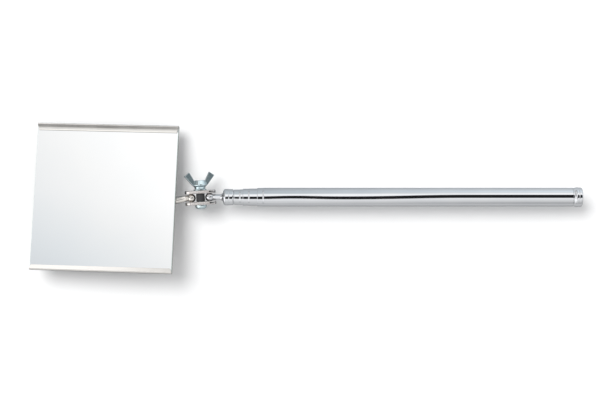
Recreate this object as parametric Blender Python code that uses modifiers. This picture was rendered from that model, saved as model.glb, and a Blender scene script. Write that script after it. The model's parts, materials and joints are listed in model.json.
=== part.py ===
"""Telescoping inspection mirror: a square mirror on a double ball clamp and a four-tube rod.

Lengths are in millimetres, and MM turns them into Blender's metres. The origin is the centre
of the handle's flat butt face. The rod runs along X with the mirror at -X, +Y is the side of
the wing nut, and the mirror's face looks nearly along +Z.
"""

import math

import bmesh
import bpy
from mathutils import Euler, Matrix, Vector

MM = 0.001
MERGE = 0.00001
NAME = "telescoping_inspection_mirror"
GAP = 0.1  # between pieces that rest on each other

# Rod: each tube is stepped down from the one that holds it.
OUTER_RADIUS = 6.5
WALL = 0.3
TUBE_STEP = 0.55  # a wall and the air gap inside it
TUBE_REAR = (-6.8, -12.5, -20.0, -27.5)
TUBE_MOUTH = (-226.6, -236.6, -242.8, -243.2)
MOUTH_LENGTH = 4.0
MOUTH_SINK = 0.12
MOUTH_CLEARANCE = 0.08
BEND_LENGTH = 0.4
SEAT_LENGTH = 7.0
SEAT_SINK = 0.3
RIM_SINK = 0.1
RIM_LENGTH = 0.8
SLEEVE_STANDOUT = 0.17
SPLIT_WIDTH = 1.2

# Butt cap and tip.
CAP_RIM_RADIUS = 6.75
CAP_FLARE_RADIUS = 6.85
CAP_GROOVE_RADIUS = 6.55
CAP_WAIST_RADIUS = 6.3
CAP_EDGE = 0.9
CAP_SHOULDER = -6.7
CAP_END = -11.5
CAP_WALL = 0.9
CAP_FLOOR = -2.2
COLLAR_RADIUS = 5.7
COLLAR_REAR = -243.3
COLLAR_FRONT = -250.2
COLLAR_EDGE = 0.25
SHOULDER_EDGE = 1.4
SPIGOT_LENGTH = 12.0
SPIGOT_EDGE = 0.3
FLARE_RADIUS = 2.4
NECK_RADIUS = 1.95

# Ball clamp.
TIP_BALL_X = -259.9
BALL_RADIUS = 3.05
BALL_SPACING = 12.7
CLAMP_TILT = math.radians(3.4)
PLATE_WIDTH = 9.0
PLATE_THICKNESS = 2.3
PLATE_GAP = 5.6
PLATE_EDGE = 0.6
SOCKET_RADIUS = 3.17
BOLT_RADIUS = 2.0
BOLT_END = 10.6
BOLT_CHAMFER = 0.4
BOLT_HEAD_RADIUS = 4.1
BOLT_HEAD_EDGE = 0.4
BOLT_HEAD_HEIGHT = 2.9
HOLE_RADIUS = 2.15
SPACER_RADIUS = 3.0
WASHER_RADIUS = 4.5
WASHER_THICKNESS = 0.7
RING_EDGE = 0.15
NUT_HUB = ((3.7, 12.1), (4.05, 11.8), (4.9, 9.2), (5.0, 8.5), (4.7, 7.9), (3.8, 7.5))
NUT_FOOT_RADIUS = 3.7
NUT_CHAMFER = 0.4
NUT_TURN = math.radians(27)
WING_LEAN = math.radians(35)
WING_LENGTH = 8.8
WING_THICKNESS = 1.9
WING_TOP_WIDTH = 4.4
WING_FOOT_WIDTH = 2.6
WING_FOOT_RADIUS = 4.4
WING_FOOT_HEIGHT = 9.3
WING_EDGE = 0.35

# Mirror head, in its own frame: origin at the middle of the lips' front plane.
HEAD_ROTATION = Euler((math.radians(-8.7), math.radians(-4.6), math.radians(-1.55)))
HEAD_WIDTH = 100.0
HEAD_HEIGHT = 104.0
HEAD_DEPTH = 4.45
SHEET = 0.5
BEND_RADIUS = 0.8
LIP_RADIUS = 0.5
LIP_SLOPE = 14.0
LIP_LENGTH = 2.8
HEM_LENGTH = 1.5
MIRROR_SIZE = (99.6, 101.6, 1.85)
MIRROR_FRONT = -1.35
MIRROR_EDGE = 0.25
BACKING_SIZE = (97.0, 99.0, 0.32)
BACKING_EDGE = 0.05
BALL_IN_HEAD = Vector((60.58, 1.99, -6.4))
STEM_RADIUS = 2.5
STEM_TIP_RADIUS = 2.1
STEM_START = 8.0
STEM_BEND = 46.5
STEM_STRAIGHT = 3.3  # from the ball's centre, in line with the clamp
BRACKET_SHEET = 0.8
BRACKET_ENDS = (6.0, 46.0)
BRACKET_HALF_WIDTH = 11.0
BRACKET_BEND = 0.55
RIVET_X = (12.0, 40.0)
RIVET_Y = 7.5
RIVET_RADIUS = 1.2
RIVET_HOLE_RADIUS = 1.3
RIVET_HEAD_RADIUS = 2.2
RIVET_HEAD_HEIGHT = 1.0
RIVET_TAIL_RADIUS = 1.9
RIVET_TAIL_HEIGHT = 0.22

TUBE_STEPS = 32
SMALL_STEPS = 24
RIVET_STEPS = 16

# Base colour, roughness and metallic value.
CHROME = ((0.78, 0.79, 0.81), 0.06, 1.0)
NICKEL = ((0.72, 0.66, 0.58), 0.22, 1.0)
ZINC = ((0.55, 0.66, 0.70), 0.28, 1.0)
STAINLESS = ((0.66, 0.65, 0.63), 0.3, 1.0)
SILVERED = ((0.93, 0.94, 0.95), 0.01, 1.0)
BRASS = ((0.72, 0.56, 0.28), 0.3, 1.0)
RUBBER = ((0.03, 0.03, 0.032), 0.75, 0.0)
FELT = ((0.55, 0.55, 0.54), 0.9, 0.0)

TO_X = (0.0, math.pi / 2, 0.0)
TO_Y = (-math.pi / 2, 0.0, 0.0)
UPRIGHT = (0.0, 0.0, 0.0)


def clear_scene():
    for obj in list(bpy.data.objects):
        bpy.data.objects.remove(obj)


def new_collection(name):
    collection = bpy.data.collections.new(name)
    bpy.context.scene.collection.children.link(collection)
    return collection


def new_material(name, look):
    colour, roughness, metallic = look
    material = bpy.data.materials.new(name + "_finish")
    material.use_nodes = True
    shader = material.node_tree.nodes["Principled BSDF"]
    shader.inputs["Base Color"].default_value = (*colour, 1.0)
    shader.inputs["Roughness"].default_value = roughness
    shader.inputs["Metallic"].default_value = metallic
    return material


def add_part(name, mesh, look, parent, rotation=UPRIGHT, location=(0, 0, 0)):
    """A sub-part of the mirror, placed under its parent empty."""
    obj = bpy.data.objects.new(name, mesh)
    obj.data.materials.append(new_material(name, look))
    parts.objects.link(obj)
    obj.parent = parent
    obj.rotation_euler = rotation
    obj.location = Vector(location) * MM
    return obj


def add_cutter(name, mesh, parent):
    """A shape that Booleans use: hidden, and no sub-part itself."""
    obj = bpy.data.objects.new(name, mesh)
    tools.objects.link(obj)
    obj.parent = parent
    obj.hide_render = True
    obj.display_type = "WIRE"
    return obj


def add_empty(name, parent=None, location=(0, 0, 0), rotation=UPRIGHT):
    empty = bpy.data.objects.new(name, None)
    empty.empty_display_size = 0.01
    parts.objects.link(empty)
    empty.parent = parent
    empty.location = Vector(location) * MM
    empty.rotation_euler = rotation
    return empty


def mesh_from(bm, name):
    mesh = bpy.data.meshes.new(name)
    bm.to_mesh(mesh)
    bm.free()
    return mesh


def boolean(obj, tool, operation="DIFFERENCE"):
    modifier = obj.modifiers.new(tool.name, "BOOLEAN")
    modifier.operation = operation
    modifier.object = tool


def bevel(obj, width, segments=2):
    modifier = obj.modifiers.new("Edges", "BEVEL")
    modifier.width = width * MM
    modifier.segments = segments
    modifier.limit_method = "ANGLE"


def arc(centre, radius, start, end, steps):
    """Points of an arc in a plane, from start to end degrees, both included."""
    points = []
    for i in range(steps + 1):
        angle = math.radians(start + (end - start) * i / steps)
        points.append((centre[0] + radius * math.cos(angle), centre[1] + radius * math.sin(angle)))
    return points


def dome(radius, base, height, steps):
    """Points from a round head's rim to its middle; a negative height curves downwards."""
    points = []
    for i in range(steps + 1):
        angle = math.pi / 2 * i / steps
        points.append((radius * math.cos(angle), base + height * math.sin(angle)))
    return points


def turned(name, profile, look, parent, rotation, steps, ring=False, location=(0, 0, 0)):
    """A profile of (radius, height) points, outer side first, turned about its height axis."""
    bm = bmesh.new()
    points = [bm.verts.new((radius * MM, 0, height * MM)) for radius, height in profile]
    ends = points[1:] + points[:1] if ring else points[1:]
    for first, second in zip(points, ends):
        bm.edges.new((first, second))
    obj = add_part(name, mesh_from(bm, name), look, parent, rotation, location)
    screw = obj.modifiers.new("Turn", "SCREW")
    screw.steps = steps
    screw.render_steps = steps
    screw.use_merge_vertices = True
    screw.merge_threshold = MERGE
    return obj


def ball(name, look, parent):
    bm = bmesh.new()
    bmesh.ops.create_uvsphere(bm, u_segments=SMALL_STEPS, v_segments=16, radius=BALL_RADIUS * MM)
    obj = add_part(name, mesh_from(bm, name), look, parent)
    obj.data.shade_smooth()
    return obj


def both_halves(points):
    """A half section that starts at y = 0, run on from its own mirror image."""
    return [(-y, z) for y, z in reversed(points[1:])] + points


def folded_sheet(name, profile, ends, thickness, look, parent):
    """A sheet folded to a (y, z) profile between two x positions."""
    bm = bmesh.new()
    rows = []
    for x in ends:
        rows.append([bm.verts.new((x * MM, y * MM, z * MM)) for y, z in profile])
    for i in range(len(profile) - 1):
        bm.faces.new((rows[0][i], rows[1][i], rows[1][i + 1], rows[0][i + 1]))
    obj = add_part(name, mesh_from(bm, name), look, parent)
    solidify = obj.modifiers.new("Thickness", "SOLIDIFY")
    solidify.thickness = thickness * MM
    solidify.offset = 0
    solidify.use_even_offset = True
    return obj


def tube_radius(index):
    return OUTER_RADIUS - TUBE_STEP * index


def tube_rear_profile(index):
    """The outer and inner points of a tube's rear end: a necked seat for the friction sleeve."""
    radius = tube_radius(index)
    rear = TUBE_REAR[index]
    if index == 0:
        return [(radius, rear)], [(radius - WALL, rear)]
    seat = radius - SEAT_SINK
    outer = [
        (radius - RIM_SINK, rear),
        (radius - RIM_SINK, rear - RIM_LENGTH + GAP),
        (seat, rear - RIM_LENGTH),
        (seat, rear - SEAT_LENGTH),
        (radius, rear - SEAT_LENGTH - BEND_LENGTH),
    ]
    inner = [
        (radius - WALL, rear - SEAT_LENGTH - BEND_LENGTH),
        (seat - WALL, rear - SEAT_LENGTH),
        (seat - WALL, rear),
    ]
    return outer, inner


def tube_mouth_profile(index):
    """The outer and inner points of a tube's mouth, rolled in onto the tube inside it."""
    radius = tube_radius(index)
    mouth = TUBE_MOUTH[index]
    if index == 3:
        return [(radius, mouth)], [(radius - WALL, mouth)]
    bore = tube_radius(index + 1) + MOUTH_CLEARANCE
    sunk = radius - MOUTH_SINK
    outer = [
        (radius, mouth + MOUTH_LENGTH + BEND_LENGTH),
        (sunk, mouth + MOUTH_LENGTH),
        (sunk, mouth + BEND_LENGTH),
        (sunk - GAP, mouth + GAP),
        (bore + GAP, mouth),
    ]
    inner = [
        (bore, mouth + GAP),
        (bore, mouth + MOUTH_LENGTH),
        (radius - WALL, mouth + MOUTH_LENGTH + BEND_LENGTH),
    ]
    return outer, inner


def make_tube(name, index, parent):
    rear_outer, rear_inner = tube_rear_profile(index)
    mouth_outer, mouth_inner = tube_mouth_profile(index)
    profile = rear_outer + mouth_outer + mouth_inner + rear_inner
    return turned(name, profile, CHROME, parent, TO_X, TUBE_STEPS, ring=True)


def make_sleeve(name, index, parent, split):
    """The split friction sleeve on a tube's rear seat, which the next mouth stops."""
    radius = tube_radius(index)
    rear = TUBE_REAR[index] - RIM_LENGTH - GAP
    front = TUBE_REAR[index] - SEAT_LENGTH + GAP
    outside = radius + SLEEVE_STANDOUT
    inside = radius - SEAT_SINK + GAP
    profile = [
        (outside - GAP, rear),
        (outside, rear - GAP),
        (outside, front + GAP),
        (outside - GAP, front),
        (inside, front),
        (inside, rear),
    ]
    obj = turned(name, profile, BRASS, parent, TO_X, TUBE_STEPS, ring=True)
    boolean(obj, split)


def make_split_cutter(parent):
    """One long bar along the top of the rod that opens every sleeve."""
    middle = (TUBE_REAR[1] + TUBE_REAR[3] - SEAT_LENGTH) / 2
    length = TUBE_REAR[1] - TUBE_REAR[3] + 3 * SEAT_LENGTH
    place = Matrix.Translation(Vector((middle, 0, OUTER_RADIUS)) * MM)
    size = Matrix.Diagonal((length * MM, SPLIT_WIDTH * MM, OUTER_RADIUS * MM, 1))
    bm = bmesh.new()
    bmesh.ops.create_cube(bm, size=1, matrix=place @ size)
    return add_cutter("sleeve_split_cutter", mesh_from(bm, "sleeve_split_cutter"), parent)


def make_rod(axis):
    split = make_split_cutter(axis)
    make_tube("outer_tube", 0, axis)
    for index in (1, 2, 3):
        make_tube(f"tube_{index}", index, axis)
        make_sleeve(f"friction_sleeve_{index}", index, axis, split)


def make_end_cap(parent):
    """A cup pressed into the outer tube: rim, shallow groove, flare and a waist at the tube."""
    spigot = OUTER_RADIUS - WALL - GAP
    profile = [(0, 0)]
    profile += arc((CAP_RIM_RADIUS - CAP_EDGE, -CAP_EDGE), CAP_EDGE, 90, 0, 4)
    profile += [
        (CAP_RIM_RADIUS, -2.1),
        (CAP_GROOVE_RADIUS, -2.7),
        (CAP_FLARE_RADIUS, -3.3),
        (CAP_FLARE_RADIUS, -4.1),
        (CAP_WAIST_RADIUS, -5.5),
        (CAP_WAIST_RADIUS, CAP_SHOULDER),
        (spigot, CAP_SHOULDER),
        (spigot, CAP_END + SPIGOT_EDGE),
        (spigot - SPIGOT_EDGE, CAP_END),
        (spigot - CAP_WALL, CAP_END),
        (spigot - CAP_WALL, CAP_FLOOR),
        (0, CAP_FLOOR),
    ]
    turned("end_cap", profile, CHROME, parent, TO_X, TUBE_STEPS)


def make_tip(parent):
    """The collar that closes the inner tube, with the neck that ends in a cup on the ball."""
    spigot = tube_radius(3) - WALL - GAP
    cup = BALL_RADIUS + GAP
    edge = math.degrees(math.asin(NECK_RADIUS / cup))
    profile = [
        (0, COLLAR_REAR + SPIGOT_LENGTH),
        (spigot - SPIGOT_EDGE, COLLAR_REAR + SPIGOT_LENGTH),
        (spigot, COLLAR_REAR + SPIGOT_LENGTH - SPIGOT_EDGE),
        (spigot, COLLAR_REAR),
        (COLLAR_RADIUS - COLLAR_EDGE, COLLAR_REAR),
        (COLLAR_RADIUS, COLLAR_REAR - COLLAR_EDGE),
    ]
    shoulder = (COLLAR_RADIUS - SHOULDER_EDGE, COLLAR_FRONT + SHOULDER_EDGE)
    profile += arc(shoulder, SHOULDER_EDGE, 0, -90, 4)
    flare = (NECK_RADIUS + FLARE_RADIUS, COLLAR_FRONT - FLARE_RADIUS - GAP)
    profile += arc(flare, FLARE_RADIUS, 90, 180, 6)
    for i in range(5):
        angle = math.radians(edge * (1 - i / 4))
        profile.append((cup * math.sin(angle), TIP_BALL_X + cup * math.cos(angle)))
    turned("tip_collar", profile, CHROME, parent, TO_X, SMALL_STEPS)


def make_clamp_cutter(parent):
    """The bolt's hole and the two ball sockets, shared by both plates."""
    bm = bmesh.new()
    bmesh.ops.create_cone(
        bm,
        cap_ends=True,
        segments=SMALL_STEPS,
        radius1=HOLE_RADIUS * MM,
        radius2=HOLE_RADIUS * MM,
        depth=4 * PLATE_GAP * MM,
        matrix=Matrix.Rotation(math.pi / 2, 4, "X"),
    )
    for side in (-1, 1):
        place = Matrix.Translation(Vector((side * BALL_SPACING / 2, 0, 0)) * MM)
        radius = SOCKET_RADIUS * MM
        bmesh.ops.create_uvsphere(bm, u_segments=SMALL_STEPS, v_segments=16, radius=radius, matrix=place)
    return add_cutter("clamp_cutter", mesh_from(bm, "clamp_cutter"), parent)


def plate_outline():
    """A slot shape: two half rounds joined by straight sides."""
    radius = PLATE_WIDTH / 2
    right = arc((BALL_SPACING / 2, 0), radius, -90, 90, 12)
    left = arc((-BALL_SPACING / 2, 0), radius, 90, 270, 12)
    return right + left


def make_plate(name, side, parent, cutter):
    """A clamp plate, from its flat outline, with sockets and a bolt hole cut in it."""
    curve = bpy.data.curves.new(name, "CURVE")
    curve.dimensions = "2D"
    curve.fill_mode = "BOTH"
    curve.extrude = PLATE_THICKNESS / 2 * MM
    outline = plate_outline()
    spline = curve.splines.new("POLY")
    spline.points.add(len(outline) - 1)
    for point, (x, y) in zip(spline.points, outline):
        point.co = (x * MM, y * MM, 0, 1)
    spline.use_cyclic_u = True
    mesh = mesh_of_curve(curve, name)
    middle = side * (PLATE_GAP + PLATE_THICKNESS) / 2
    obj = add_part(name, mesh, NICKEL, parent, TO_Y, (0, middle, 0))
    bevel(obj, PLATE_EDGE)
    boolean(obj, cutter)


def mesh_of_curve(curve, name):
    """The curve's evaluated shape as a mesh with its caps welded on."""
    holder = bpy.data.objects.new(name + "_curve", curve)
    parts.objects.link(holder)
    graph = bpy.context.evaluated_depsgraph_get()
    mesh = bpy.data.meshes.new_from_object(holder.evaluated_get(graph))
    bpy.data.objects.remove(holder)
    bm = bmesh.new()
    bm.from_mesh(mesh)
    bmesh.ops.remove_doubles(bm, verts=bm.verts, dist=MERGE)
    bm.to_mesh(mesh)
    bm.free()
    return mesh


def make_bolt(parent):
    under_head = -PLATE_GAP / 2 - PLATE_THICKNESS - GAP
    profile = [
        (0, BOLT_END),
        (BOLT_RADIUS - BOLT_CHAMFER, BOLT_END),
        (BOLT_RADIUS, BOLT_END - BOLT_CHAMFER),
        (BOLT_RADIUS, under_head),
        (BOLT_HEAD_RADIUS, under_head),
    ]
    domed = BOLT_HEAD_HEIGHT - BOLT_HEAD_EDGE
    profile += dome(BOLT_HEAD_RADIUS, under_head - BOLT_HEAD_EDGE, -domed, 5)
    turned("clamp_bolt", profile, ZINC, parent, TO_Y, SMALL_STEPS)


def make_ring(name, inside, outside, low, high, look, parent):
    profile = [
        (outside - RING_EDGE, high),
        (outside, high - RING_EDGE),
        (outside, low + RING_EDGE),
        (outside - RING_EDGE, low),
        (inside, low),
        (inside, high),
    ]
    turned(name, profile, look, parent, TO_Y, SMALL_STEPS, ring=True)


def make_wings(parent):
    """The two flat wings, wider at their tips, leaning out from the hub."""
    bm = bmesh.new()
    for side in (-1, 1):
        made = bmesh.ops.create_cube(bm, size=1)["verts"]
        for vert in made:
            width = WING_TOP_WIDTH if vert.co.y > 0 else WING_FOOT_WIDTH
            vert.co = (vert.co.x * width, (vert.co.y + 0.5) * WING_LENGTH, vert.co.z * WING_THICKNESS)
        lean = Matrix.Rotation(-side * WING_LEAN, 4, "Z")
        foot = Matrix.Translation((side * WING_FOOT_RADIUS, WING_FOOT_HEIGHT, 0))
        bmesh.ops.transform(bm, matrix=Matrix.Scale(MM, 4) @ foot @ lean, verts=made)
    obj = add_cutter("wing_shape", mesh_from(bm, "wing_shape"), parent)
    bevel(obj, WING_EDGE)
    return obj


def make_wing_nut(parent):
    low = PLATE_GAP / 2 + PLATE_THICKNESS + WASHER_THICKNESS + 2 * GAP
    top = NUT_HUB[0][1]
    bore = BOLT_RADIUS + GAP
    profile = list(NUT_HUB)
    profile += [
        (NUT_FOOT_RADIUS, low),
        (bore, low),
        (bore, top - NUT_CHAMFER),
        (bore + NUT_CHAMFER, top),
    ]
    obj = turned("wing_nut", profile, ZINC, parent, TO_Y, SMALL_STEPS, ring=True)
    boolean(obj, make_wings(parent), "UNION")


def clamp_turn():
    """The clamp's rotation at rest, tilted off the rod's line."""
    return Matrix.Rotation(CLAMP_TILT, 3, "Z")


def make_clamp(tip_pivot, mirror_pivot):
    """Two plates drawn together on both balls by one bolt and a wing nut."""
    frame = add_empty("clamp_frame", tip_pivot, (-BALL_SPACING / 2, 0, 0))
    cutter = make_clamp_cutter(frame)
    make_plate("clamp_plate_lower", -1, frame, cutter)
    make_plate("clamp_plate_upper", 1, frame, cutter)
    half_gap = PLATE_GAP / 2 - GAP
    make_ring("plate_spacer", HOLE_RADIUS, SPACER_RADIUS, -half_gap, half_gap, RUBBER, frame)
    make_bolt(frame)
    low = PLATE_GAP / 2 + PLATE_THICKNESS + GAP
    make_ring("washer", HOLE_RADIUS, WASHER_RADIUS, low, low + WASHER_THICKNESS, ZINC, frame)
    nut_frame = add_empty("nut_frame", frame, rotation=(0, NUT_TURN, 0))
    make_wing_nut(nut_frame)
    ball("tip_ball", CHROME, tip_pivot)
    ball("mirror_ball", NICKEL, mirror_pivot)


def frame_profile():
    """The frame's section: flat back, side walls and lips that slope onto the mirror, +Y hemmed flat."""
    back = -HEAD_DEPTH + SHEET / 2
    side = HEAD_HEIGHT / 2 - SHEET / 2
    top = -SHEET / 2 - LIP_RADIUS
    points = [(0, back)]
    points += arc((side - BEND_RADIUS, back + BEND_RADIUS), BEND_RADIUS, -90, 0, 4)
    points += arc((side - LIP_RADIUS, top), LIP_RADIUS, 0, 90 + LIP_SLOPE, 5)
    slope = math.radians(LIP_SLOPE)
    last = points[-1]
    points.append((last[0] - LIP_LENGTH * math.cos(slope), last[1] - LIP_LENGTH * math.sin(slope)))
    return both_halves(points) + [(points[-1][0] - HEM_LENGTH, points[-1][1])]


def stem_height():
    """The stem's centre line, just behind the frame."""
    return -HEAD_DEPTH - GAP - STEM_RADIUS


def bracket_profile():
    """The saddle's section: a hump around the stem and a flange on the frame at each side."""
    flange = -HEAD_DEPTH - GAP - BRACKET_SHEET / 2
    hump = STEM_RADIUS + GAP + BRACKET_SHEET / 2
    points = arc((0, stem_height()), hump, -90, 0, 8)
    points += arc((hump + BRACKET_BEND, flange - BRACKET_BEND), BRACKET_BEND, 180, 90, 4)
    points.append((BRACKET_HALF_WIDTH, flange))
    return both_halves(points)


def make_slab(name, size, front, look, parent, edge):
    """A flat rectangular sheet whose front face is at the given height."""
    place = Matrix.Translation(Vector((0, 0, front - size[2] / 2)) * MM)
    scale = Matrix.Diagonal((size[0] * MM, size[1] * MM, size[2] * MM, 1))
    bm = bmesh.new()
    bmesh.ops.create_cube(bm, size=1, matrix=place @ scale)
    obj = add_part(name, mesh_from(bm, name), look, parent)
    bevel(obj, edge, 1)


def make_rivet_cutter(parent):
    bm = bmesh.new()
    for x in RIVET_X:
        for y in (-RIVET_Y, RIVET_Y):
            bmesh.ops.create_cone(
                bm,
                cap_ends=True,
                segments=RIVET_STEPS,
                radius1=RIVET_HOLE_RADIUS * MM,
                radius2=RIVET_HOLE_RADIUS * MM,
                depth=2 * HEAD_DEPTH * MM,
                matrix=Matrix.Translation(Vector((x, y, -HEAD_DEPTH)) * MM),
            )
    return add_cutter("rivet_hole_cutter", mesh_from(bm, "rivet_hole_cutter"), parent)


def make_rivets(parent):
    """Rivets through the bracket's flanges and the frame, with thin tails inside the frame."""
    inside = -HEAD_DEPTH + SHEET + GAP / 2
    outside = -HEAD_DEPTH - GAP - BRACKET_SHEET - GAP
    profile = [
        (0, inside + RIVET_TAIL_HEIGHT),
        (RIVET_TAIL_RADIUS, inside + RIVET_TAIL_HEIGHT),
        (RIVET_TAIL_RADIUS, inside),
        (RIVET_RADIUS, inside),
        (RIVET_RADIUS, outside),
    ]
    profile += dome(RIVET_HEAD_RADIUS, outside, -RIVET_HEAD_HEIGHT, 4)
    places = [(x, y, 0) for x in RIVET_X for y in (-RIVET_Y, RIVET_Y)]
    for i, place in enumerate(places):
        name = f"bracket_rivet_{i + 1}"
        turned(name, profile, STAINLESS, parent, UPRIGHT, RIVET_STEPS, location=place)


def stem_curve(clamp_line):
    """The stem's path: straight behind the frame, then a gentle bend into the clamp's line."""
    height = stem_height()
    straight_end = BALL_IN_HEAD - clamp_line * STEM_STRAIGHT
    tip = BALL_IN_HEAD - clamp_line
    reach = Vector((4.0, 0, 0))
    pull = clamp_line * 2.0
    knots = [
        (Vector((STEM_START, 0, height)), reach, 1.0),
        (Vector((STEM_BEND, 0, height)), reach, 1.0),
        (straight_end, pull, STEM_TIP_RADIUS / STEM_RADIUS),
        (tip, pull, STEM_TIP_RADIUS / STEM_RADIUS),
    ]
    curve = bpy.data.curves.new("ball_stem", "CURVE")
    curve.dimensions = "3D"
    curve.bevel_depth = STEM_RADIUS * MM
    curve.bevel_resolution = 6
    curve.resolution_u = 6
    curve.use_fill_caps = True
    spline = curve.splines.new("BEZIER")
    spline.bezier_points.add(len(knots) - 1)
    for point, (place, handle, radius) in zip(spline.bezier_points, knots):
        point.co = place * MM
        point.handle_left = (place - handle) * MM
        point.handle_right = (place + handle) * MM
        point.radius = radius
    return curve


def make_stem(parent, clamp_line):
    """The bent rod from the bracket to the ball, cupped where it meets the ball."""
    obj = add_part("ball_stem", mesh_of_curve(stem_curve(clamp_line), "ball_stem"), NICKEL, parent)
    obj.data.shade_smooth()
    bm = bmesh.new()
    place = Matrix.Translation(BALL_IN_HEAD * MM)
    radius = (BALL_RADIUS + GAP) * MM
    bmesh.ops.create_uvsphere(bm, u_segments=SMALL_STEPS, v_segments=16, radius=radius, matrix=place)
    boolean(obj, add_cutter("stem_cup_cutter", mesh_from(bm, "stem_cup_cutter"), parent))


def make_head(mirror_pivot):
    """The square mirror in its folded frame, hung on the mirror ball by a riveted saddle."""
    turn = clamp_turn().inverted() @ HEAD_ROTATION.to_matrix()
    head = add_empty("head_frame", mirror_pivot, -(turn @ BALL_IN_HEAD), turn.to_euler())
    clamp_line = turn.inverted() @ Vector((1, 0, 0))
    ends = (-HEAD_WIDTH / 2, HEAD_WIDTH / 2)
    frame = folded_sheet("mirror_frame", frame_profile(), ends, SHEET, STAINLESS, head)
    saddle = bracket_profile()
    bracket = folded_sheet("head_bracket", saddle, BRACKET_ENDS, BRACKET_SHEET, STAINLESS, head)
    holes = make_rivet_cutter(head)
    boolean(frame, holes)
    boolean(bracket, holes)
    make_slab("mirror_plate", MIRROR_SIZE, MIRROR_FRONT, SILVERED, head, MIRROR_EDGE)
    behind = MIRROR_FRONT - MIRROR_SIZE[2] - GAP / 2
    make_slab("mirror_backing_sheet", BACKING_SIZE, behind, FELT, head, BACKING_EDGE)
    make_rivets(head)
    make_stem(head, clamp_line)


def main():
    rod_axis = add_empty("rod_axis")
    make_rod(rod_axis)
    make_end_cap(rod_axis)
    make_tip(rod_axis)
    tip_pivot = add_empty("tip_pivot", rod_axis, (TIP_BALL_X, 0, 0), clamp_turn().to_euler())
    mirror_pivot = add_empty("mirror_pivot", tip_pivot, (-BALL_SPACING, 0, 0))
    make_clamp(tip_pivot, mirror_pivot)
    make_head(mirror_pivot)


clear_scene()
parts = new_collection(NAME)
tools = new_collection("cutters")
main()
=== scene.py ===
"""Looks of the telescoping inspection mirror: smooth meshes, materials, light and camera.

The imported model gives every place. Sizes of pieces are in millimetres, and MM turns them into
metres. The camera and the studio are in metres.
"""

import json
import math

import bmesh
import bpy
from mathutils import Euler, Matrix, Vector

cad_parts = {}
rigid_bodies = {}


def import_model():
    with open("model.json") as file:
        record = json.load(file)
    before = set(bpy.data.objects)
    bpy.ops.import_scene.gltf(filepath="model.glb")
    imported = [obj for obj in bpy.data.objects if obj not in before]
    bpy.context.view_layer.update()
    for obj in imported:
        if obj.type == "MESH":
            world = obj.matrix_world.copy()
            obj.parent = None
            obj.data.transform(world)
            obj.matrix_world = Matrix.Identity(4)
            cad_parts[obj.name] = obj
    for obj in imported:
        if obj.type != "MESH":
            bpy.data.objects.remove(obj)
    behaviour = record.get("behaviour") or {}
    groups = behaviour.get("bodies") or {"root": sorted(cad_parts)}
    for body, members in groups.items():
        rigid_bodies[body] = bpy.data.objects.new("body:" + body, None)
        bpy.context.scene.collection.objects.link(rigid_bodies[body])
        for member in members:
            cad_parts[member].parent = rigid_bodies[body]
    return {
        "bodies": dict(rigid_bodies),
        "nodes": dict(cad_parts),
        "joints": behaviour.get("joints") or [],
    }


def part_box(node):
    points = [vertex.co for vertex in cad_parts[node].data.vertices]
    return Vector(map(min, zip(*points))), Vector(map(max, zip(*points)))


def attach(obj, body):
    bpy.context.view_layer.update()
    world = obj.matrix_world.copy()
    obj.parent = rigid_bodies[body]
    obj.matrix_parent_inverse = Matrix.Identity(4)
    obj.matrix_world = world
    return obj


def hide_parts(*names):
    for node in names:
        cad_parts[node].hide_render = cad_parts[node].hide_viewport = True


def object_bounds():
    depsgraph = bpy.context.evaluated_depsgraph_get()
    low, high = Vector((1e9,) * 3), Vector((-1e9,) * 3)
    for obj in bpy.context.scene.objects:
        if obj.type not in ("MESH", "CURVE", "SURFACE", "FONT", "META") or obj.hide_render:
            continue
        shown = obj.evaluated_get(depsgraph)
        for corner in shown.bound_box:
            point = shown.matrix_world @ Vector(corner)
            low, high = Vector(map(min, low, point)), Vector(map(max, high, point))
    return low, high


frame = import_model()
CAD_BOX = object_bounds()

MM = 0.001
STEPS = 128  # around a tube
SMALL_STEPS = 96
FILLET_STEPS = 5
GAP = 0.1  # between two pieces that touch
NO_RADIUS = 1e-6

# Rod.
WALL = 0.3
MOUTH_SINK = 0.12
MOUTH_CLEARANCE = 0.08
MOUTH_LENGTH = 4.0
SEAT_LENGTH = 7.0
SEAT_SINK = 0.3
SLEEVE_EDGE = 0.05
NECK_RADIUS = 1.95
NECK_IN_BALL = 1.6  # how far a neck runs on into its ball

# Butt cap and tip, cut along the rod.
CAP_SHOULDER = -6.7
SPIGOT_LENGTH = 12.0
COLLAR_LENGTH = 6.9
SHOULDER_EDGE = 1.4
FLARE_RADIUS = 2.4

# Clamp.
PLATE_WIDTH = 9.0
PLATE_GAP = 5.6
PLATE_OUTSIDE = 5.1
SOCKET_RADIUS = 3.17
HOLE_RADIUS = 2.15
THREAD_PITCH = 0.7
THREAD_DEPTH = 0.38
BOLT_RADIUS = 2.0
BOLT_END = 10.6
BOLT_THREAD = (-1.0, 10.15)
BOLT_HEAD_RADIUS = 4.1
BOLT_HEAD_HEIGHT = 2.9
RECESS_ARM = 1.9
RECESS_HALF_WIDTH = 0.35
NUT_BORE = 2.1
NUT_THREAD = (5.4, 12.6)
NUT_TURN = math.radians(27)
WING_LEAN = math.radians(35)
WING_LENGTH = 8.8
WING_THICKNESS = 1.9
WING_TOP_WIDTH = 4.4
WING_FOOT_WIDTH = 2.6
WING_FOOT = (4.4, 9.3)

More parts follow.
